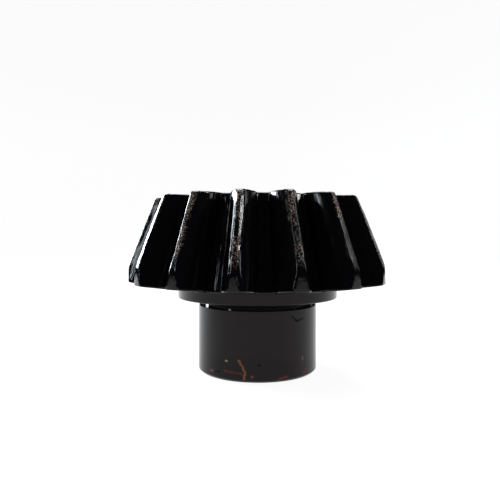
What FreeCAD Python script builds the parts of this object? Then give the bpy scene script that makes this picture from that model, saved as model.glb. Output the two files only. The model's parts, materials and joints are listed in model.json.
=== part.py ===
"""Straight bevel pinion with a keyed bore and two set screws in its hub.

The hub's end face lies on z = 0, the bore is on the Z axis and the teeth narrow towards +Z.
All sizes are in millimetres and all angles in degrees. Every surface of a tooth is a cone
whose point is the pitch apex, so one gap outline, scaled about the apex, cuts the gap.
"""

import FreeCAD, Part
import os
from math import acos, atan2, cos, pi, radians, sin, sqrt, tan

from FreeCAD import Vector

# Teeth
TEETH = 15
MATE_TEETH = 45
MODULE = 6.0
PRESSURE_ANGLE = 20.0
THICKNESS_FACTOR = 1.77         # pitch-line tooth thickness over the module
WHOLE_DEPTH = 2.188 * MODULE
ADDENDUM = 1.29 * MODULE        # long, as on the pinion of a large reduction
ROOT_FILLET = 1.5
FLANK_STEPS = 14
FIRST_TOOTH = -75.0             # direction of one tooth's middle, from +X towards +Y

# Blank
APEX_Z = 180.0
TOE_Z = 72.0
OUTSIDE_R = 53.75
TOE_CORNER_R = 2.0
BACK_OUTER_Z = 37.3
SHOULDER_R = 33.65
SHOULDER_BOTTOM_Z = 30.5
SHOULDER_TOP_Z = 34.7
SHOULDER_EDGE_R = 0.8
HUB_R = 25.0
HUB_CHAMFER = 1.0
RELIEF_WIDTH = 3.1              # the hub's undercut below the shoulder: a ramp, then a flat
RELIEF_DEPTH = 0.5
RELIEF_FLAT = 1.2
RELIEF_CORNER = 0.7             # bevel between the flat and the shoulder's face

# Bore and keyway, for a 30 mm shaft with an 8 x 7 mm key
BORE_R = 15.0
BORE_CHAMFER = 1.0
KEYWAY_WIDTH = 8.0
KEYWAY_DEPTH = 3.3
KEYWAY_DIRECTION = 45.0

# M8 set screws, at mid hub: one bears on the key and the other on the shaft
SCREW_R = 4.0
SCREW_RUNNING_GAP = 0.05
SCREW_Z = 14.0
KEY_SCREW_LENGTH = 6.0
KEY_SCREW_TIP = 18.5            # distance of the tip from the bore's axis
SHAFT_SCREW_LENGTH = 8.0
SHAFT_SCREW_TIP = 15.3
SHAFT_SCREW_DIRECTION = 135.0
SOCKET_ACROSS_FLATS = 4.0
SOCKET_DEPTH = 3.0
SCREW_HEAD_CHAMFER = 0.7
CUP_R = 2.5
CUP_RIM = 0.5
CUP_DEPTH = 1.0

PITCH_ANGLE = atan2(TEETH, MATE_TEETH)
PITCH_R = MODULE * TEETH / 2
CONE_DISTANCE = PITCH_R / sin(PITCH_ANGLE)
FACE_ANGLE = PITCH_ANGLE + atan2(ADDENDUM, CONE_DISTANCE)


def involute(angle):
    return tan(angle) - angle


def tooth_half_angle(radius):
    """Half a tooth's angle at a radius of the virtual spur gear on the back cone."""
    pitch_r = PITCH_R / cos(PITCH_ANGLE)
    base_r = pitch_r * cos(radians(PRESSURE_ANGLE))
    at_pitch = THICKNESS_FACTOR * MODULE / (2 * pitch_r)
    at_base = at_pitch + involute(radians(PRESSURE_ANGLE))
    if radius <= base_r:
        return at_base
    return at_base - involute(acos(base_r / radius))


def flank(radius, half_angle, plane_z):
    """A point of the virtual spur gear, seen from the apex on the plane z = plane_z."""
    step = radius - PITCH_R / cos(PITCH_ANGLE)
    r = PITCH_R + step * cos(PITCH_ANGLE)
    below_apex = PITCH_R / tan(PITCH_ANGLE) - step * sin(PITCH_ANGLE)
    r *= (APEX_Z - plane_z) / below_apex
    angle = half_angle / cos(PITCH_ANGLE)
    return Vector(r * cos(angle), r * sin(angle), plane_z)


def gap_wire(plane_z):
    """Outline of one gap, from the middle of one tooth to the middle of the next."""
    pitch_r = PITCH_R / cos(PITCH_ANGLE)
    root_r = pitch_r - (WHOLE_DEPTH - ADDENDUM)
    past_tip = 0.4 * MODULE
    outer_r = pitch_r + ADDENDUM + past_tip
    fillet_height = 0.9 * ROOT_FILLET
    fillet_top_r = root_r + fillet_height
    half_pitch = pi / TEETH * cos(PITCH_ANGLE)
    climb = (outer_r - fillet_top_r) / FLANK_STEPS
    radii = [fillet_top_r + climb * k for k in range(FLANK_STEPS + 1)]
    left = [flank(r, half_pitch - tooth_half_angle(r), plane_z) for r in radii]
    right = [Vector(p.x, -p.y, p.z) for p in left]
    root = flank(root_r, 0, plane_z)
    shoulder = ROOT_FILLET / pitch_r
    root_edge = flank(root_r, half_pitch - tooth_half_angle(root_r) - shoulder, plane_z)
    bottom = Part.Arc(Vector(root_edge.x, -root_edge.y, plane_z), root, root_edge)
    curves = [
        spline(left),
        Part.LineSegment(left[-1], right[-1]),
        spline(right[::-1]),
        fillet_curve(right, Vector(root_edge.x, -root_edge.y, plane_z), bottom, -1),
        bottom,
        fillet_curve(left, root_edge, bottom, 1),
    ]
    return Part.Wire(Part.__sortEdges__([c.toShape() for c in curves]))


def spline(points):
    curve = Part.BSplineCurve()
    curve.interpolate(points)
    return curve


def fillet_curve(side, root_edge, bottom, turn):
    """The root fillet: leaves the root tangentially and meets the flank tangentially."""
    flank_way = (side[0] - side[1]).normalize()
    root_way = bottom.tangent(bottom.LastParameter if turn > 0 else bottom.FirstParameter)[0]
    root_way = root_way * turn
    # where the two tangent lines cross, the middle pole of a quadratic curve
    gap = side[0] - root_edge
    cross = flank_way.x * root_way.y - flank_way.y * root_way.x
    along = -(gap.x * root_way.y - gap.y * root_way.x) / cross
    curve = Part.BezierCurve()
    curve.setPoles([side[0], side[0] + flank_way * along, root_edge])
    return curve


def gap_cutter():
    """One gap as a solid whose flanks all run to the apex, past both ends of the teeth."""
    low, high = SHOULDER_BOTTOM_Z, TOE_Z + MODULE
    return Part.makeLoft([gap_wire(low), gap_wire(high)], True, True)


def blank():
    """The turned shape before the teeth are cut."""
    slope = tan(FACE_ANGLE)
    crown_z = APEX_Z - OUTSIDE_R / slope
    toe_r = (APEX_Z - TOE_Z) * slope
    outline = [
        Vector(BORE_R + BORE_CHAMFER, 0, 0),
        Vector(HUB_R - HUB_CHAMFER, 0, 0),
        Vector(HUB_R, 0, HUB_CHAMFER),
        Vector(HUB_R, 0, SHOULDER_BOTTOM_Z - RELIEF_WIDTH),
        Vector(HUB_R - RELIEF_DEPTH, 0, SHOULDER_BOTTOM_Z - RELIEF_FLAT),
        Vector(HUB_R - RELIEF_DEPTH, 0, SHOULDER_BOTTOM_Z - RELIEF_CORNER),
        Vector(HUB_R - RELIEF_DEPTH + RELIEF_CORNER, 0, SHOULDER_BOTTOM_Z),
        Vector(SHOULDER_R, 0, SHOULDER_BOTTOM_Z),
        Vector(SHOULDER_R, 0, SHOULDER_TOP_Z),
        Vector(OUTSIDE_R, 0, BACK_OUTER_Z),
        Vector(OUTSIDE_R, 0, crown_z),
        Vector(toe_r, 0, TOE_Z),
        Vector(BORE_R + BORE_CHAMFER, 0, TOE_Z),
        Vector(BORE_R, 0, TOE_Z - BORE_CHAMFER),
        Vector(BORE_R, 0, BORE_CHAMFER),
    ]
    outline.append(outline[0])
    face = Part.Face(Part.makePolygon(outline))
    solid = face.revolve(Vector(0, 0, 0), Vector(0, 0, 1), 360)
    solid = round_ring(solid, TOE_CORNER_R, toe_r, TOE_Z)
    return round_ring(solid, SHOULDER_EDGE_R, SHOULDER_R, SHOULDER_BOTTOM_Z)


def round_ring(solid, fillet_r, ring_r, ring_z):
    """Rounds the circular edge of radius ring_r at height ring_z."""
    rings = [
        e for e in solid.Edges
        if e.Curve.TypeId == "Part::GeomCircle"
        and abs(e.Curve.Radius - ring_r) < 1e-6 and abs(e.Curve.Center.z - ring_z) < 1e-6
    ]
    return solid.makeFillet(fillet_r, rings)


def turned(shape, degrees):
    return shape.copy().rotate(Vector(0, 0, 0), Vector(0, 0, 1), degrees)


def radial_hole(inner, outer, direction):
    r = SCREW_R + SCREW_RUNNING_GAP
    hole = Part.makeCylinder(r, outer - inner, Vector(inner, 0, SCREW_Z), Vector(1, 0, 0))
    return turned(hole, direction)


def pinion():
    """The one-piece gear: teeth, shoulder, hub, bore, keyway and tapped holes."""
    solid = blank()
    gap = gap_cutter()
    pitch = 360 / TEETH
    gaps = [turned(gap, FIRST_TOOTH + (k + 0.5) * pitch) for k in range(TEETH)]
    solid = solid.cut(gaps)
    key_space = Part.makeBox(BORE_R + KEYWAY_DEPTH, KEYWAY_WIDTH, TOE_Z,
                             Vector(0, -KEYWAY_WIDTH / 2, 0))
    clearance = 1.0
    past_hub = HUB_R + clearance
    tools = [
        turned(key_space, KEYWAY_DIRECTION),
        radial_hole(0, past_hub, KEYWAY_DIRECTION),
        radial_hole(0, past_hub, SHAFT_SCREW_DIRECTION),
    ]
    return solid.cut(tools)


def set_screw(length, tip, direction):
    """A socket set screw with a cup point, its tip towards the bore."""
    body = Part.makeCylinder(SCREW_R, length)
    ends = sorted((e for e in body.Edges if e.Curve.TypeId == "Part::GeomCircle"),
                  key=lambda e: e.Curve.Center.z)
    body = body.makeChamfer(SCREW_R - CUP_R - CUP_RIM, [ends[0]])
    head = [e for e in body.Edges if e.Curve.TypeId == "Part::GeomCircle"
            and abs(e.Curve.Center.z - length) < 1e-6]
    body = body.makeChamfer(SCREW_HEAD_CHAMFER, head)
    corner_r = SOCKET_ACROSS_FLATS / sqrt(3)
    corners = [Vector(corner_r * cos(radians(60 * k)), corner_r * sin(radians(60 * k)),
                      length - SOCKET_DEPTH) for k in range(7)]
    socket = Part.Face(Part.makePolygon(corners)).extrude(Vector(0, 0, SOCKET_DEPTH))
    cup = Part.makeCone(CUP_R, 0, CUP_DEPTH)
    body = body.cut([socket, cup])
    body.rotate(Vector(0, 0, 0), Vector(0, 1, 0), 90)
    body.translate(Vector(tip, 0, SCREW_Z))
    return turned(body, direction)


nodes = {
    "bevel_pinion": pinion(),
    "key_set_screw": set_screw(KEY_SCREW_LENGTH, KEY_SCREW_TIP, KEYWAY_DIRECTION),
    "shaft_set_screw": set_screw(SHAFT_SCREW_LENGTH, SHAFT_SCREW_TIP, SHAFT_SCREW_DIRECTION),
}

os.makedirs("parts", exist_ok=True)
for name, shape in nodes.items():
    solids = shape.Solids
    assert shape.isValid() and len(solids) == 1, name
    solids[0].exportStep("parts/" + name + ".step")
    print(name, "volume", round(shape.Volume), "mm3, box", shape.BoundBox)
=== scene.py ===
"""Looks of a black lacquered straight bevel pinion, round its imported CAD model.

Shapes are worked out in millimetres with numpy and turned into metres when a mesh is made.
The gear is one closed skin of rings: up the teeth, over the toe face, down the bore, out over
the hub's end and up the hub and shoulder to the teeth again. The sides of the teeth are cones
that run to the apex, so a point on them is worked out as it is seen from the apex.
"""

import json
from math import atan, atan2, cos, pi, radians, sin, sqrt, tan

import bmesh
import bpy
import numpy as np
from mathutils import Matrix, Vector


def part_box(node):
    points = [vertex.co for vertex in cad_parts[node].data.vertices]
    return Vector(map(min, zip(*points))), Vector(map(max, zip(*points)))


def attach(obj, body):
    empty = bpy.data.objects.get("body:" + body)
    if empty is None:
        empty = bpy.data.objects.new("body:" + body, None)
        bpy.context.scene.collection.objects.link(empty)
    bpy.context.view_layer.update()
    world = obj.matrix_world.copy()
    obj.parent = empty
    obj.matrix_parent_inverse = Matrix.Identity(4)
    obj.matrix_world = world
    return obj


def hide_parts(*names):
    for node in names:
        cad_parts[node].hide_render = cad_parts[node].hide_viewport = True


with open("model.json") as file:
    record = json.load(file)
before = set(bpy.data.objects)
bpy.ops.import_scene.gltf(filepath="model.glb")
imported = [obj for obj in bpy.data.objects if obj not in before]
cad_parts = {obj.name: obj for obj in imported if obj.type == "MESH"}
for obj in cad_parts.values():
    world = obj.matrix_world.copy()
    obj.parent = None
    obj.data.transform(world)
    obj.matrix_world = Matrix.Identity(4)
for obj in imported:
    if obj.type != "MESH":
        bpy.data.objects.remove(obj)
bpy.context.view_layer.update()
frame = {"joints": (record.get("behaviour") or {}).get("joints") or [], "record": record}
MOUNTS = {m["name"]: m for m in frame["record"]["mounts"]}
JOINTS = {j["child"]: j for j in frame["joints"]}
MM = 0.001

# ---------------------------------------------------------------- sizes, in millimetres
TOE_Z = MOUNTS["toe_face"]["pos_m"][2] / MM
SHOULDER_Z = MOUNTS["shoulder"]["pos_m"][2] / MM
HUB_R = MOUNTS["hub_seat"]["dims"]["r_mm"]
BORE_R = MOUNTS["bore"]["dims"]["r_mm"]

TEETH = 15
MATE_TEETH = 45
MODULE = 6.0
PRESSURE_ANGLE = radians(20)
THICKNESS_FACTOR = 1.77
WHOLE_DEPTH = 2.188 * MODULE
ADDENDUM = 1.29 * MODULE
ROOT_FILLET = 1.5
FIRST_TOOTH = radians(-75)
APEX_Z = 180.0
OUTSIDE_R = 53.75
TOE_CORNER_R = 2.0
SHOULDER_R = 33.65
SHOULDER_TOP_Z = 34.7
BACK_OUTER_Z = 37.3
HUB_CHAMFER = 1.0
RELIEF_WIDTH = 3.1
RELIEF_DEPTH = 0.5
RELIEF_FLAT = 1.2
BORE_CHAMFER = 1.0
KEYWAY_WIDTH = 8.0
KEYWAY_DEPTH = 3.3
KEYWAY_DIRECTION = radians(45)
HOLE_R = 4.05
SCREW_R = 4.0
KEY_SCREW_TIP = 18.5
KEY_SCREW_LENGTH = 6.0
SHAFT_SCREW_TIP = 15.3
SHAFT_SCREW_LENGTH = 8.0
THREAD_PITCH = 1.25
THREAD_DEPTH = 0.6
SOCKET_R = 2.0

PITCH_ANGLE = atan2(TEETH, MATE_TEETH)
PITCH_R = MODULE * TEETH / 2
VIRTUAL_R = PITCH_R / cos(PITCH_ANGLE)
CONE_DISTANCE = PITCH_R / sin(PITCH_ANGLE)
FACE_SLOPE = tan(PITCH_ANGLE + atan2(ADDENDUM, CONE_DISTANCE))
BACK_SLOPE = (BACK_OUTER_Z - SHOULDER_TOP_Z) / (OUTSIDE_R - SHOULDER_R)
PITCH_STEP = 2 * pi / TEETH
FACE_LENGTH = TOE_Z - BACK_OUTER_Z

# The lacquer rounds every edge of the steel
END_ROUND = 0.55
TIP_ROUND = 0.5

# The tooth left of the middle, seen from the front, is a little worn on both sides
SLIM_TOOTH = TEETH - 1

# How far the lacquered surface strays from the steel's true shape
LAND_ROUGH, LAND_OWN, LAND_WORN = 0.14, 0.12, 0.08
EDGE_ROUGH, EDGE_PROUD = 0.06, 0.05
TOOTH_WAVE, PLAIN_WAVE = 0.035, 0.008
TOE_ROUGH = 0.10
LONG_WANDER, SHORT_WANDER = 0.34, 0.16
SLIM_BY = 0.5


# ---------------------------------------------------------------- small geometry helpers
def polar(r, angle):
    return np.stack([r * np.cos(angle), r * np.sin(angle)], -1)


def turned(points, angle):
    c, s = cos(angle), sin(angle)
    return points @ np.array([[c, s], [-s, c]])


def at_height(points, z):
    return np.column_stack([points, np.broadcast_to(z, len(points))])


def bezier(a, b, c, n):
    """n + 1 points of the quadratic curve from a to c, with the middle pole b."""
    t = np.linspace(0, 1, n + 1)[:, None]
    return (1 - t) ** 2 * a + 2 * t * (1 - t) * b + t ** 2 * c


def lumps(points, size, seed=0):
    """Smooth noise from -1 to 1, with features of one size. It is the same on every run."""
    cell = points / size + seed * 7.31
    base = np.floor(cell).astype(np.int64)
    part = cell - base
    part = part * part * (3 - 2 * part)
    total = np.zeros(len(points))
    for corner in np.ndindex(2, 2, 2):
        x, y, z = (base + corner).T
        mixed = (x * 73856093) ^ (y * 19349663) ^ (z * 83492791)
        mixed = ((mixed ^ (mixed >> 13)) * 1274126177) & 0xFFFFFFF
        weight = np.prod(np.where(corner, part, 1 - part), axis=1)
        total += weight * ((mixed >> 8) % 1000 / 499.5 - 1)
    return total


# ---------------------------------------------------------------- tooth form
def involute(angle):
    return np.tan(angle) - angle


def gap_angle(virtual_r):
    """Half the angle of a tooth space at a radius of the virtual spur gear."""
    base_r = VIRTUAL_R * cos(PRESSURE_ANGLE)
    at_base = THICKNESS_FACTOR * MODULE / (2 * VIRTUAL_R) + involute(PRESSURE_ANGLE)
    above = np.arccos(np.minimum(base_r / np.maximum(virtual_r, base_r), 1))
    return PITCH_STEP / 2 - (at_base - involute(above)) / cos(PITCH_ANGLE)


def seen(virtual_r):
    """Radius over depth below the apex, for a radius of the virtual spur gear."""
    step = virtual_r - VIRTUAL_R
    depth = PITCH_R / tan(PITCH_ANGLE) - step * sin(PITCH_ANGLE)
    return (PITCH_R + step * cos(PITCH_ANGLE)) / depth


ROOT_R = VIRTUAL_R - (WHOLE_DEPTH - ADDENDUM)
FILLET_TOP_R = ROOT_R + 0.9 * ROOT_FILLET
FLANK_R = np.linspace(FILLET_TOP_R, VIRTUAL_R + 2 * ADDENDUM, 240)
FLANK_SEEN = seen(FLANK_R)
FLANK_ANGLE = gap_angle(FLANK_R)
STEPS = {"root": 3, "fillet": 5, "flank": 15, "corner": 4, "land": 3}
HALF = sum(STEPS.values())
AROUND = 2 * HALF * TEETH


def flank_point(virtual_r):
    return polar(np.interp(virtual_r, FLANK_R, FLANK_SEEN),
                 np.interp(virtual_r, FLANK_R, FLANK_ANGLE))


def half_space(land, depth):
    """From the middle of a space to the middle of a tooth, as seen from the apex.

    The tooth is cut off at land, and the section lies depth below the apex.
    """
    root = float(seen(ROOT_R))
    foot_angle = float(gap_angle(ROOT_R)) - ROOT_FILLET / VIRTUAL_R
    foot, side = polar(root, foot_angle), flank_point(FLANK_R[:2])
    foot_way = np.array([-sin(foot_angle), cos(foot_angle)])
    lines = np.stack([foot_way, side[1] - side[0]], 1)
    pole = foot + foot_way * np.linalg.solve(lines, side[0] - foot)[0]
    tip_v = float(np.interp(land, FLANK_SEEN, FLANK_R))
    tip_angle = float(np.interp(land, FLANK_SEEN, FLANK_ANGLE))
    cut = TIP_ROUND / depth
    flank = flank_point(np.linspace(FILLET_TOP_R, tip_v - cut * CONE_DISTANCE, STEPS["flank"] + 1))
    land_starts = tip_angle + cut / land
    parts = [
        polar(root, np.linspace(0, foot_angle, STEPS["root"] + 1))[:-1],
        bezier(foot, pole, side[0], STEPS["fillet"])[:-1],
        flank[:-1],
        bezier(flank[-1], polar(land, tip_angle), polar(land, land_starts), STEPS["corner"])[:-1],
        polar(land, np.linspace(land_starts, PITCH_STEP / 2, STEPS["land"] + 1)),
    ]
    return np.concatenate(parts)


def depth_at(seen_, share):
    """Depth below the apex, at a share of the way from the back face to the toe face."""
    back = (APEX_Z - SHOULDER_TOP_Z + SHOULDER_R * BACK_SLOPE) / (1 + seen_ * BACK_SLOPE)
    return back + (APEX_Z - TOE_Z - back) * share


def land_radius(z):
    """Where the teeth are cut off: a cylinder, the face cone and the toe's round corner."""
    cone = (APEX_Z - z) * FACE_SLOPE
    soft = 0.15
    crown = -soft * np.logaddexp(-cone / soft, -OUTSIDE_R / soft)
    cone_angle = atan(FACE_SLOPE)
    if z < TOE_Z - TOE_CORNER_R * (1 - sin(cone_angle)):
        return crown
    centre_r = (APEX_Z - TOE_Z) * FACE_SLOPE - TOE_CORNER_R * tan((pi / 2 - cone_angle) / 2)
    up = z - (TOE_Z - TOE_CORNER_R)
    return centre_r + sqrt(max(TOE_CORNER_R ** 2 - up ** 2, 0))


def tooth_shares():
    """Where the rows lie along a tooth: close together where its two ends are rounded."""
    toe_length = 2.4
    end_rows, middle_rows, toe_rows = 5, 43, 6
    rounded = END_ROUND * (1 - np.cos(np.linspace(0, pi / 2, end_rows))) / FACE_LENGTH
    near_toe = 1 - toe_length / FACE_LENGTH
    middle = np.linspace(rounded[-1], near_toe, middle_rows)
    toe = np.linspace(near_toe, 1 - rounded[-1], toe_rows)
    return np.concatenate([rounded[:-1], middle[:-1], toe, 1 - rounded[-2::-1]])


def pull_in(ring, distance):
    """Moves a closed outline inwards, level by level."""
    way = (np.roll(ring, -1, 0) - np.roll(ring, 1, 0))[:, :2]
    way /= np.linalg.norm(way, axis=1)[:, None]
    moved = ring.copy()
    moved[:, 0] -= way[:, 1] * distance
    moved[:, 1] += way[:, 0] * distance
    return moved


def tooth_ring(share):
    """One row round all the teeth."""
    land = FACE_SLOPE
    for _ in range(8):
        depth = float(depth_at(land, share))
        land = float(land_radius(APEX_Z - depth)) / depth
    half = half_space(land, depth)
    other = turned(half[-2:0:-1] * [1, -1], PITCH_STEP)
    one = np.concatenate([half, other])
    starts = FIRST_TOOTH - PITCH_STEP / 2
    flat = np.concatenate([turned(one, starts + k * PITCH_STEP) for k in range(TEETH)])
    depths = depth_at(np.linalg.norm(flat, axis=1), share)
    ring = np.column_stack([flat * depths[:, None], APEX_Z - depths])
    end = min(min(share, 1 - share) * FACE_LENGTH, END_ROUND)
    return pull_in(ring, END_ROUND - sqrt(max(END_ROUND ** 2 - (END_ROUND - end) ** 2, 0)))


# ---------------------------------------------------------------- the gear's closed skin
def ring_angles(outline):
    """Angles on a circle for the points of a toothed outline, spread more evenly than it."""
    even = FIRST_TOOTH - PITCH_STEP / 2 + np.arange(AROUND) * 2 * pi / AROUND
    own = np.unwrap(np.arctan2(outline[:, 1], outline[:, 0]))
    own += 2 * pi * np.round((even[0] - own[0]) / (2 * pi))
    return 0.7 * own + 0.3 * even


def keyed_ring(r, z, count):
    """A circle with the keyway's notch in it. The first point is where even rings begin."""
    half = KEYWAY_WIDTH / 2
    bottom = BORE_R + KEYWAY_DEPTH
    mouth = np.arcsin(half / r)
    wall, floor = 5, 8
    arc = count - 2 * wall - floor
    notch = np.concatenate([
        np.column_stack([np.linspace(sqrt(r * r - half * half), bottom, wall + 1)[1:],
                         np.full(wall, -half)]),
        np.column_stack([np.full(floor, bottom), np.linspace(-half, half, floor + 1)[1:]]),
        np.column_stack([np.linspace(bottom, sqrt(r * r - half * half), wall + 1)[1:],
                         np.full(wall, half)]),
    ])
    rest = polar(r, np.linspace(mouth, 2 * pi - mouth, arc + 1)[1:])
    ring = turned(np.concatenate([notch, rest]), KEYWAY_DIRECTION)
    angles = np.arctan2(ring[:, 1], ring[:, 0])
    start = FIRST_TOOTH - PITCH_STEP / 2
    off = np.abs((angles - start + pi) % (2 * pi) - pi)
    return at_height(np.roll(ring, -int(np.argmin(off)), 0), z)


def circle(r, z, count):
    angles = FIRST_TOOTH - PITCH_STEP / 2 + np.arange(count) * 2 * pi / count
    return at_height(polar(r, angles), z)


def rounded_path(corners, radii, step):
    """Points along a path of straight runs in (r, z), with its corners rounded."""
    corners = [np.array(c, float) for c in corners]
    path = [corners[0]]
    for before, corner, after, r in zip(corners, corners[1:], corners[2:], radii):
        a = corner + (before - corner) / np.linalg.norm(before - corner) * r
        b = corner + (after - corner) / np.linalg.norm(after - corner) * r
        path += run(path[-1], a, step) + list(bezier(a, corner, b, 4))[1:]
    return path + run(path[-1], corners[-1], step)


def run(a, b, step):
    n = max(int(np.ceil(np.linalg.norm(b - a) / step)), 1)
    return [a + (b - a) * k / n for k in range(1, n + 1)]


def hub_path():
    """The hub and shoulder's outline, from the hub's end face to the back of the teeth."""
    groove_r = HUB_R - RELIEF_DEPTH
    groove_z = SHOULDER_Z - RELIEF_WIDTH
    end_inset, back_run = 2.4, 1.6
    corners = [
        (BORE_R + BORE_CHAMFER + end_inset, 0),
        (HUB_R - HUB_CHAMFER, 0),
        (HUB_R, HUB_CHAMFER),
        (HUB_R, groove_z),
        (groove_r, SHOULDER_Z - RELIEF_FLAT),
        (groove_r, SHOULDER_Z),
        (SHOULDER_R, SHOULDER_Z),
        (SHOULDER_R, SHOULDER_TOP_Z),
        (SHOULDER_R + back_run, SHOULDER_TOP_Z + back_run * BACK_SLOPE),
    ]
    radii = [0.3, 0.3, 0.25, 0.3, 0.7, 0.8, 0.4]
    return rounded_path(corners, radii, step=4.0)


def bore_path():
    """The bore's outline from the toe face down to the hub's end face."""
    outer = BORE_R + BORE_CHAMFER
    run_in = outer + 0.6
    corners = [(run_in, TOE_Z), (outer, TOE_Z), (BORE_R, TOE_Z - BORE_CHAMFER),
               (BORE_R, BORE_CHAMFER), (outer, 0), (run_in, 0)]
    return rounded_path(corners, [0.2, 0.2, 0.2, 0.2], step=15.0)


def gear_rings():
    """All the rings in order, and for each tooth row its share of the way up the tooth."""
    shares = tooth_shares()
    teeth = [tooth_ring(s) for s in shares]
    coarse = AROUND // 2
    rings = list(teeth)
    inner = at_height(polar(30.4, ring_angles(teeth[-1])), TOE_Z)
    rings += [teeth[-1] + (inner - teeth[-1]) * t for t in (0.05, 0.3, 0.65)] + [inner]
    rings += [circle(r, TOE_Z, coarse) for r in (28.5, 25.5, 22, 19.4)]
    rings += [keyed_ring(r, z, coarse) for r, z in bore_path()]
    rings += [circle(r, z, coarse) for r, z in hub_path()]
    out = 3.2
    inner = polar(SHOULDER_R + out, ring_angles(teeth[0]))
    inner = at_height(inner, SHOULDER_TOP_Z + out * BACK_SLOPE)
    rings += [inner + (teeth[0] - inner) * t for t in (0, 0.4, 0.75, 0.95)]
    return rings, shares


def skin_faces(rings):
    """Quads between equal rings, and three triangles to two edges where a ring is coarser."""
    starts = np.cumsum([0] + [len(r) for r in rings])
    quads, triangles = [], []
    for k, ring in enumerate(rings):
        nxt = (k + 1) % len(rings)
        a, b, n, m = starts[k], starts[nxt], len(ring), len(rings[nxt])
        i = np.arange(min(n, m))
        j = (i + 1) % len(i)
        if n == m:
            quads.append(np.stack([a + i, b + i, b + j, a + j], 1))
            continue
        fine, rough, flip = (a, b, 1) if n > m else (b, a, -1)
        f0, f1, f2 = fine + 2 * i, fine + 2 * i + 1, fine + (2 * i + 2) % (2 * len(i))
        for t in ((f0, rough + i, f1), (f1, rough + i, rough + j), (f1, rough + j, f2)):
            triangles.append(np.stack(t[::flip], 1))
    return np.concatenate(quads), np.concatenate(triangles)


def tube_faces(rings):
    """Quads between rings of equal size, in order."""
    around = len(rings[0])
    i = np.arange(around)
    j = (i + 1) % around
    faces = []
    for k in range(len(rings) - 1):
        a, b = k * around, (k + 1) * around
        faces += np.stack([a + i, a + j, b + j, b + i], 1).tolist()
    return faces


def end_faces(rings):
    """The first and the last ring as closed ends."""
    around = len(rings[0])
    last = (len(rings) - 1) * around
    return [list(range(around))[::-1], list(range(last, last + around))]


def ring_along_x(r, x, angles):
    return np.column_stack([np.full(len(angles), x), r * np.cos(angles), r * np.sin(angles)])


def pointed_along(points, way, z):
    """Turns points with their own +X along a level direction, at a height."""
    side = np.array([-way[1], way[0], 0])
    return points[:, :1] * way + points[:, 1:2] * side + points[:, 2:] * [0, 0, 1] + [0, 0, z]


def screw_height():
    low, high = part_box("key_set_screw")
    return (low.z + high.z) / 2 / MM


def mesh_object(name, points, faces, smooth=True):
    """A mesh from points in millimetres."""
    data = bpy.data.meshes.new(name)
    data.from_pydata((np.asarray(points) * MM).tolist(), [], faces)
    data.validate()
    data.polygons.foreach_set("use_smooth", [smooth] * len(data.polygons))
    piece = bpy.data.objects.new(name, data)
    bpy.context.scene.collection.objects.link(piece)
    return piece


def store(piece, name, values):
    """Keeps one number per point on the mesh, for the material to read."""
    attribute = piece.data.attributes.new(name, "FLOAT", "POINT")
    attribute.data.foreach_set("value", np.asarray(values, np.float32))


def read_points(data):
    points = np.empty(len(data.vertices) * 3, np.float32)
    data.vertices.foreach_get("co", points)
    return points.reshape(-1, 3).astype(float) / MM


def read_normals(data):
    normals = np.empty(len(data.vertices) * 3, np.float32)
    data.vertex_normals.foreach_get("vector", normals)
    return normals.reshape(-1, 3).astype(float)


def write_points(data, points):
    data.vertices.foreach_set("co", (points * MM).astype(np.float32).ravel())
    data.update()


def uneven(points, normals, on_tooth, weights, side, tooth):
    """Moves the points off the true shape: forged lands, worn edges and flowing lacquer."""
    land, edge, crown = weights
    height = np.clip((points[:, 2] - BACK_OUTER_Z) / FACE_LENGTH, 0, 1)
    toe = np.clip(1 - (TOE_Z - points[:, 2]) / 2.5, 0, 1)
    rough = 0.5 * lumps(points, 2.1, 1) + 0.3 * lumps(points, 1.1, 2) + 0.4 * lumps(points, 5.0, 3)
    own = lumps(np.column_stack([tooth * 9.0, tooth * 5.0, height * 1.5]), 1.0, 4)
    wave = lumps(points * [1, 1, 0.5], 6.0, 5)
    offset = land * crown * (LAND_ROUGH * rough + LAND_OWN * own - LAND_WORN)
    offset += edge * (EDGE_ROUGH * lumps(points, 1.7, 6) + EDGE_PROUD)
    offset += np.where(on_tooth, TOOTH_WAVE * wave, PLAIN_WAVE * wave)
    offset += toe * (1 - land) * on_tooth * TOE_ROUGH * lumps(points, 2.6, 7)

    strand = np.zeros((len(points), 3))
    strand[on_tooth, 0] = tooth[on_tooth] * 7.0 + side[on_tooth] * 2.3
    strand[:, 2] = points[:, 2]
    wander = edge * (LONG_WANDER * lumps(strand, 6.5, 8) + SHORT_WANDER * lumps(strand, 2.4, 9))
    wander += edge * side * (tooth == SLIM_TOOTH) * SLIM_BY * (1 - toe)
    around = np.column_stack([-points[:, 1], points[:, 0], np.zeros(len(points))])
    around /= np.linalg.norm(around, axis=1)[:, None]
    return points + normals * offset[:, None] + around * wander[:, None]


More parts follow.
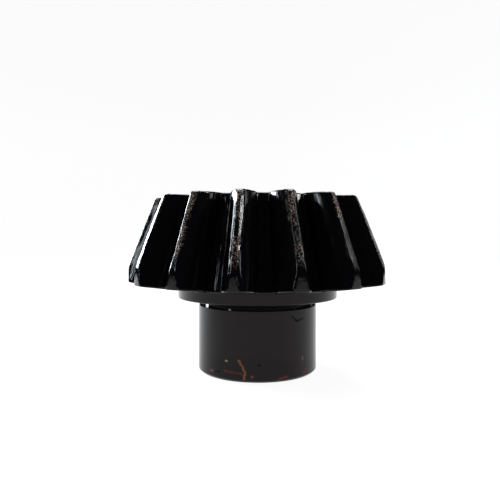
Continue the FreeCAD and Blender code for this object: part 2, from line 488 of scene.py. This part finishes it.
def build_gear():
    """The gear's skin, with what its material needs to know at each point."""
    rings, shares = gear_rings()
    quads, triangles = skin_faces(rings)
    piece = mesh_object("gear_body", np.concatenate(rings), quads.tolist() + triangles.tolist())
    points, normals = read_points(piece.data), read_normals(piece.data)

    def on_teeth(one_row):
        """The same values on every row of the teeth, and 0 elsewhere."""
        values = np.zeros(len(points))
        values[:len(shares) * AROUND] = np.tile(one_row, len(shares))
        return values

    step = np.arange(AROUND) % (2 * HALF)
    from_gap = np.minimum(step, 2 * HALF - step)
    corner_starts = HALF - STEPS["land"] - STEPS["corner"]
    from_corner = (from_gap - corner_starts - 0.5 * STEPS["corner"]) / 2.2
    land = on_teeth(np.clip((from_gap - corner_starts) / STEPS["corner"], 0, 1))
    edge = on_teeth(np.exp(-from_corner ** 2))
    tooth = on_teeth(np.arange(AROUND) // (2 * HALF))
    side = on_teeth(np.sign(HALF - step))
    on_tooth = np.arange(len(points)) < len(shares) * AROUND
    crown = np.clip((points[:, 2] - BACK_OUTER_Z - 6) / 4, 0, 1)
    write_points(piece.data, uneven(points, normals, on_tooth, (land, edge, crown), side, tooth))
    store(piece, "land", land * crown)
    store(piece, "teeth", on_tooth)
    return piece


# ---------------------------------------------------------------- set screws
def screw_rings(length):
    """Rings of a cup-point set screw along +X, its tip at 0, with a helical thread."""
    minor, crest_r = SCREW_R - THREAD_DEPTH, SCREW_R - 0.05
    angles = np.arange(48) * 2 * pi / 48
    cup = [(0.02, 0.95), (0.9, 0.62), (1.8, 0.28), (2.35, 0.06), (2.5, 0.0), (2.7, 0.08)]
    rings = [ring_along_x(r, x, angles) for r, x in cup]
    for x in np.arange(0.3, length - 0.05, THREAD_PITCH / 10):
        turn = (x / THREAD_PITCH - angles / (2 * pi)) % 1
        crest = np.clip(1.25 - 2.6 * np.abs(turn - 0.5), 0, 1)
        taper = min(2.75 + 1.0 * x, SCREW_R, SCREW_R - 0.9 + 1.1 * (length - x))
        rings.append(ring_along_x(np.minimum(minor + (crest_r - minor) * crest, taper), x, angles))
    hexagon = SOCKET_R / np.cos((angles + pi / 6) % (pi / 3) - pi / 6)
    head = [(3.0, 0), (2.75, 0), (hexagon + 0.22, 0), (hexagon, 0.2), (hexagon, 1.4),
            (hexagon, 2.9), (hexagon * 0.9, 3.0), (0.9, 3.25), (0.02, 3.6)]
    return rings + [ring_along_x(r, length - depth, angles) for r, depth in head]


def build_screw(name, node, body, tip, length):
    """One set screw where the CAD node is: along its joint's axis, its tip at a distance."""
    rings = screw_rings(length)
    way = np.array(JOINTS[body]["axis"])
    placed = pointed_along(np.concatenate(rings) + [tip, 0, 0], way, screw_height())
    piece = mesh_object(name, placed, tube_faces(rings) + end_faces(rings))
    smooth_by_angle(piece, 35)
    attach(piece, body)
    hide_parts(node)
    piece.data.materials.append(screw_material())
    return piece


def smooth_by_angle(piece, degrees):
    """Marks the edges sharper than an angle, so that the shading breaks there."""
    bm = bmesh.new()
    bm.from_mesh(piece.data)
    for e in bm.edges:
        e.smooth = len(e.link_faces) == 2 and e.calc_face_angle() < radians(degrees)
    bm.to_mesh(piece.data)
    bm.free()


def hole_cutter(direction):
    """A tapped hole as a solid to cut with: grooves outside a clear bore, and a chamfer."""
    groove_depth, chamfer_depth, chamfer_width = 0.28, 0.45, 0.75
    angles = np.arange(48) * 2 * pi / 48
    mouth = HUB_R - chamfer_depth
    rings = []
    for x in np.arange(BORE_R - 3, mouth, THREAD_PITCH / 6):
        turn = (x / THREAD_PITCH - angles / (2 * pi)) % 1
        groove = np.clip(1.15 - 3.0 * np.abs(turn - 0.5), 0, 1) * (x > BORE_R + 0.3)
        rings.append(ring_along_x(HOLE_R + groove_depth * groove, x, angles))
    outer = HOLE_R + chamfer_width
    for r, x in ((HOLE_R, mouth), (outer, HUB_R + 0.3), (outer, HUB_R + 2)):
        rings.append(ring_along_x(r, x, angles))
    placed = pointed_along(np.concatenate(rings), direction, screw_height())
    return mesh_object("cutter", placed, end_faces(rings) + tube_faces(rings))


def cut_holes(piece):
    """Cuts the two tapped holes, one round each screw."""
    for body in ("key_screw", "shaft_screw"):
        cutter = hole_cutter(np.array(JOINTS[body]["axis"]))
        cut = piece.modifiers.new("hole", "BOOLEAN")
        cut.operation, cut.solver, cut.object = "DIFFERENCE", "EXACT", cutter
        bpy.context.view_layer.update()
        depsgraph = bpy.context.evaluated_depsgraph_get()
        made = bpy.data.meshes.new_from_object(piece.evaluated_get(depsgraph))
        piece.modifiers.clear()
        piece.data = made
        bpy.data.objects.remove(cutter)


# ---------------------------------------------------------------- materials
def new_material(name):
    material = bpy.data.materials.new(name)
    material.use_nodes = True
    tree = material.node_tree
    return material, tree, tree.nodes["Principled BSDF"]


def math_node(tree, operation, a, b=None, c=None):
    node = tree.nodes.new("ShaderNodeMath")
    node.operation = operation
    for socket, value in zip(node.inputs, (a, b, c)):
        if value is None:
            continue
        if isinstance(value, (int, float)):
            socket.default_value = value
        else:
            tree.links.new(value, socket)
    return node.outputs[0]


def noise_node(tree, vector, scale, detail=3.0, roughness=0.55):
    node = tree.nodes.new("ShaderNodeTexNoise")
    node.inputs["Scale"].default_value = scale
    node.inputs["Detail"].default_value = detail
    node.inputs["Roughness"].default_value = roughness
    tree.links.new(vector, node.inputs["Vector"])
    return node.outputs["Fac"]


def ramp(tree, value, low, high, to_low=0.0, to_high=1.0):
    node = tree.nodes.new("ShaderNodeMapRange")
    for socket, number in zip(node.inputs[1:5], (low, high, to_low, to_high)):
        socket.default_value = number
    tree.links.new(value, node.inputs[0])
    return node.outputs[0]


def mix_colour(tree, share, a, b):
    node = tree.nodes.new("ShaderNodeMix")
    node.data_type = "RGBA"
    tree.links.new(share, node.inputs["Factor"])
    for socket, value in zip((node.inputs[6], node.inputs[7]), (a, b)):
        if isinstance(value, tuple):
            socket.default_value = (*value, 1)
        else:
            tree.links.new(value, socket)
    return node.outputs[2]


def attribute(tree, name):
    node = tree.nodes.new("ShaderNodeAttribute")
    node.attribute_name = name
    return node.outputs["Fac"]


def place_coordinates(tree):
    """Object coordinates, and the same as seen from the apex, which run along the teeth."""
    where = tree.nodes.new("ShaderNodeTexCoord").outputs["Object"]
    split = tree.nodes.new("ShaderNodeSeparateXYZ")
    tree.links.new(where, split.inputs[0])
    x, y, z = split.outputs
    depth = math_node(tree, "SUBTRACT", APEX_Z * MM, z)
    join = tree.nodes.new("ShaderNodeCombineXYZ")
    tree.links.new(math_node(tree, "DIVIDE", x, depth), join.inputs[0])
    tree.links.new(math_node(tree, "DIVIDE", y, depth), join.inputs[1])
    tree.links.new(math_node(tree, "MULTIPLY", z, 0.25), join.inputs[2])
    return where, join.outputs[0], (x, y, z)


def stroke(tree, place, start, end, width):
    """1 along a straight stroke on the hub's wall, fading to 0 at half its width."""
    along, up = end[0] - start[0], end[1] - start[1]
    length_2 = along ** 2 + up ** 2
    du = math_node(tree, "SUBTRACT", place[0], start[0])
    dv = math_node(tree, "SUBTRACT", place[1], start[1])
    share = math_node(tree, "MULTIPLY", du, along / length_2)
    share = math_node(tree, "MULTIPLY_ADD", dv, up / length_2, share)
    share = ramp(tree, share, 0, 1)
    off_u = math_node(tree, "MULTIPLY_ADD", share, -along, du)
    off_v = math_node(tree, "MULTIPLY_ADD", share, -up, dv)
    square = math_node(tree, "MULTIPLY", off_u, off_u)
    square = math_node(tree, "MULTIPLY_ADD", off_v, off_v, square)
    return ramp(tree, math_node(tree, "SQRT", square), width / 2, width / 5)


def strokes(tree, place, paths, width):
    """The strokes of several paths, joined into one mask."""
    mask = None
    for path in paths:
        for start, end in zip(path, path[1:]):
            one = stroke(tree, place, start, end, width)
            mask = one if mask is None else math_node(tree, "MAXIMUM", mask, one)
    return mask


def hub_place(tree, where, x, y, z):
    """Millimetres round the hub's wall from the front, and up it, with ragged noise added."""
    radius = math_node(tree, "SQRT", math_node(tree, "ADD", math_node(tree, "MULTIPLY", x, x),
                                               math_node(tree, "MULTIPLY", y, y)))
    on_wall = ramp(tree, radius, (HUB_R - 3) * MM, (HUB_R - 2) * MM)
    angle = math_node(tree, "ARCTAN2", x, math_node(tree, "MULTIPLY", y, -1))
    ragged = ramp(tree, noise_node(tree, where, 1100, 3), 0.2, 0.8, -0.5, 0.5)
    round_wall = math_node(tree, "MULTIPLY_ADD", angle, HUB_R, ragged)
    ragged = ramp(tree, noise_node(tree, where, 800, 3), 0.2, 0.8, -0.5, 0.5)
    up_wall = math_node(tree, "MULTIPLY_ADD", z, 1 / MM, ragged)
    return (round_wall, up_wall), on_wall


# Marks on the hub's wall: paths of (millimetres round from the front, height), then each
# kind's width in millimetres, its strength and its colour
RUST_RUN = [[(-7.5, 8.5), (-6, 6), (-5, 4), (-5.5, 1.5)]]
RUST_SPOTS = [[(-21, 3), (-20, 3)], [(19.5, 8.5), (19.5, 7.5)], [(-2.5, 2.5), (-2, 2.5)]]
RED_SCRATCHES = [[(-13.5, 4), (-6.5, 3.5)], [(8, 1.5), (12, 2)], [(20.5, 2.5), (22, 3)]]
PALE_CHIPS = [[(-13, 8), (-12.5, 8)]]
DARK_SCRATCHES = [[(14, 25), (16, 23), (20, 24)], [(0, 7), (1, 7)], [(-18.5, 3), (-16, 3.5)]]
MARKS = [
    (RUST_RUN, 1.1, 0.7, (0.17, 0.07, 0.03)),
    (RUST_SPOTS, 1.2, 0.5, (0.16, 0.07, 0.04)),
    (RED_SCRATCHES, 1.0, 0.6, (0.11, 0.022, 0.016)),
    (PALE_CHIPS, 0.8, 0.5, (0.35, 0.31, 0.2)),
    (DARK_SCRATCHES, 0.8, 0.9, (0.001, 0.001, 0.001)),
]
BLACK = (0.0012, 0.0012, 0.0016)
BARE_STEEL = (0.26, 0.17, 0.13)
WARM_BLACK_TINT = (1, 0.91, 0.9)
WHITE = (1, 1, 1)


def bare_specks(tree, where, z, land):
    """1 where the lacquer is worn off the lands, in patches, mostly near the toe."""
    specks = ramp(tree, noise_node(tree, where, 1900, 3, 0.6), 0.54, 0.64)
    more_near_toe = ramp(tree, z, 0.047, 0.07, -0.1, 0.1)
    patches = math_node(tree, "ADD", noise_node(tree, where, 130, 2), more_near_toe)
    patches = ramp(tree, patches, 0.48, 0.6)
    return math_node(tree, "MULTIPLY", math_node(tree, "MULTIPLY", specks, patches), land)


def marked(tree, colour, place, on_wall):
    """The colour with the hub's marks on it, and a mask of all of them."""
    worn = None
    for paths, width, strength, paint in MARKS:
        mask = math_node(tree, "MULTIPLY", strokes(tree, place, paths, width), on_wall)
        mask = math_node(tree, "MULTIPLY", mask, strength)
        colour = mix_colour(tree, mask, colour, paint)
        worn = mask if worn is None else math_node(tree, "MAXIMUM", worn, mask)
    return colour, worn


def lacquer_bump(tree, where, along, teeth, land):
    """The normal of fine streaks along the teeth, pits on their lands and a soft unevenness."""
    streaks = math_node(tree, "MULTIPLY", noise_node(tree, along, 260, 2, 0.5), teeth)
    pits = math_node(tree, "MULTIPLY", noise_node(tree, where, 700, 4, 0.6), land)
    soft = noise_node(tree, where, 90, 2, 0.5)
    height = math_node(tree, "ADD", math_node(tree, "MULTIPLY", streaks, 0.04),
                       math_node(tree, "MULTIPLY", pits, 0.34))
    height = math_node(tree, "ADD", height, math_node(tree, "MULTIPLY", soft, 0.03))
    bump = tree.nodes.new("ShaderNodeBump")
    bump.inputs["Distance"].default_value = MM
    bump.inputs["Strength"].default_value = 1.0
    tree.links.new(height, bump.inputs["Height"])
    return bump.outputs[0]


def lacquer_material():
    """Gloss black lacquer: duller on the lands, worn through in specks, marked on the hub."""
    material, tree, shader = new_material("black_lacquer")
    where, along, (x, y, z) = place_coordinates(tree)
    land = attribute(tree, "land")
    teeth = attribute(tree, "teeth")
    place, on_wall = hub_place(tree, where, x, y, z)
    colour = mix_colour(tree, bare_specks(tree, where, z, land), BLACK, BARE_STEEL)
    colour, worn = marked(tree, colour, place, on_wall)
    tree.links.new(colour, shader.inputs["Base Color"])

    dull = math_node(tree, "MAXIMUM", ramp(tree, land, 0, 1, 0.07, 0.16),
                     math_node(tree, "MULTIPLY", worn, 0.7))
    haze = ramp(tree, noise_node(tree, where, 60, 3), 0.4, 0.7, 0.0, 0.05)
    tree.links.new(math_node(tree, "ADD", dull, haze), shader.inputs["Roughness"])
    tree.links.new(ramp(tree, worn, 0, 1, 0.48, 0.1), shader.inputs["Specular IOR Level"])
    tint = mix_colour(tree, teeth, WARM_BLACK_TINT, WHITE)
    tree.links.new(tint, shader.inputs["Specular Tint"])
    shader.inputs["IOR"].default_value = 1.3
    tree.links.new(lacquer_bump(tree, where, along, teeth, land), shader.inputs["Normal"])
    return material


def screw_material():
    material = bpy.data.materials.get("black_oxide")
    if material:
        return material
    material, tree, shader = new_material("black_oxide")
    where = tree.nodes.new("ShaderNodeTexCoord").outputs["Object"]
    grime = noise_node(tree, where, 500, 3)
    tree.links.new(mix_colour(tree, ramp(tree, grime, 0.4, 0.7), (0.02, 0.02, 0.022),
                              (0.05, 0.046, 0.044)), shader.inputs["Base Color"])
    shader.inputs["Metallic"].default_value = 0.8
    tree.links.new(ramp(tree, grime, 0.3, 0.7, 0.3, 0.5), shader.inputs["Roughness"])
    return material


def paper_material():
    """White paper that glows as if lit from behind, so the part leaves almost no shadow on it."""
    material, _, shader = new_material("pale_paper")
    shader.inputs["Base Color"].default_value = (0.06, 0.06, 0.06, 1)
    shader.inputs["Roughness"].default_value = 0.9
    shader.inputs["Emission Color"].default_value = (1, 1, 1, 1)
    shader.inputs["Emission Strength"].default_value = 0.92
    return material


# ---------------------------------------------------------------- stage, lights and camera
def swept_disc(name, profile, closed=False):
    """A surface turned about the Z axis, from (radius, height) points in metres."""
    rings = [circle(r / MM, h / MM, 96) for r, h in profile]
    faces = tube_faces(rings)
    if closed:
        faces.append(list(range(96)))
    return mesh_object(name, np.concatenate(rings), faces)


def build_stage():
    """A pale floor, and round it a backdrop that curves up into a pale wall.

    The backdrop isn't seen in reflections: above the floor the part mirrors only the lights,
    as it does in a dark room.
    """
    floor_r, bend_r, wall_r, wall_z = 0.7, 1.6, 2.0, 1.17
    below = -2e-5
    paper = paper_material()
    floor_path = [(1e-4, below), (0.3, below), (floor_r, below)]
    floor = swept_disc("studio_floor", floor_path, closed=True)
    bend = wall_r - bend_r
    curve = [(bend_r + bend * sin(t), bend * (1 - cos(t))) for t in np.linspace(0, pi / 2, 9)]
    backdrop = swept_disc("studio_backdrop", [(floor_r, below), *curve, (wall_r, wall_z)])
    backdrop.visible_glossy = False
    for stage in (floor, backdrop):
        stage.data.materials.append(paper)


def area_light(name, direction, distance, size, power, colour=(1, 1, 1)):
    """A soft box that faces the middle of the teeth, and shows only in what it lights."""
    data = bpy.data.lights.new(name, "AREA")
    data.shape = "RECTANGLE"
    data.size, data.size_y = size
    data.energy = power
    data.color = colour
    lamp = bpy.data.objects.new(name, data)
    lamp.visible_camera = False
    target = Vector((0, 0, 0.045))
    lamp.location = target + Vector(direction).normalized() * distance
    lamp.rotation_euler = (target - lamp.location).to_track_quat("-Z", "Y").to_euler()
    bpy.context.scene.collection.objects.link(lamp)


def build_lights():
    """Lamps that the lands and the sides of the teeth mirror, and a large one from above."""
    world = bpy.data.worlds.new("studio_air")
    world.use_nodes = True
    world.node_tree.nodes["Background"].inputs["Color"].default_value = (0.02, 0.02, 0.025, 1)
    bpy.context.scene.world = world
    daylight, lamplight = (0.85, 0.93, 1), (1, 0.95, 0.9)
    area_light("left_window", (-0.76, 0.60, 0.26), 1.2, (0.8, 0.4), 36, daylight)
    area_light("left_low", (-0.76, -0.54, 0.31), 1.2, (0.08, 0.26), 1.6, daylight)
    area_light("left_side", (-0.85, -0.10, 0.50), 1.2, (0.09, 0.25), 0.45, lamplight)
    area_light("right_side", (0.89, 0.12, 0.44), 1.2, (0.12, 0.3), 0.8, lamplight)
    area_light("right_back", (0.6, 0.78, 0.16), 1.2, (0.7, 0.3), 0.5)
    area_light("front_left", (-0.72, -0.45, 0.53), 1.2, (0.05, 0.25), 0.8)
    area_light("right_low", (0.98, -0.19, 0.32), 1.2, (0.1, 0.2), 0.5, daylight)
    area_light("front_right", (0.77, -0.28, 0.57), 1.2, (0.08, 0.25), 6)
    area_light("top", (0.0, 0.35, 0.9), 1.3, (0.9, 0.9), 40, (0.95, 0.97, 1))


def build_camera():
    """A normal lens close to the part, level with the lower half of its teeth."""
    data = bpy.data.cameras.new("camera")
    data.lens = 35.33
    data.clip_start = 0.002
    camera = bpy.data.objects.new("camera", data)
    camera.location = (-0.0025, -0.2103, 0.0533)
    camera.rotation_euler = (radians(90 - 0.8), 0, radians(0.18))
    bpy.context.scene.collection.objects.link(camera)
    bpy.context.scene.camera = camera


gear = build_gear()
cut_holes(gear)
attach(gear, "pinion")
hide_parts("bevel_pinion")
gear.data.materials.append(lacquer_material())
build_screw("key_screw_threaded", "key_set_screw", "key_screw", KEY_SCREW_TIP, KEY_SCREW_LENGTH)
build_screw("shaft_screw_threaded", "shaft_set_screw", "shaft_screw", SHAFT_SCREW_TIP,
            SHAFT_SCREW_LENGTH)
build_stage()
build_lights()
build_camera()
bpy.context.scene.view_settings.view_transform = "Standard"
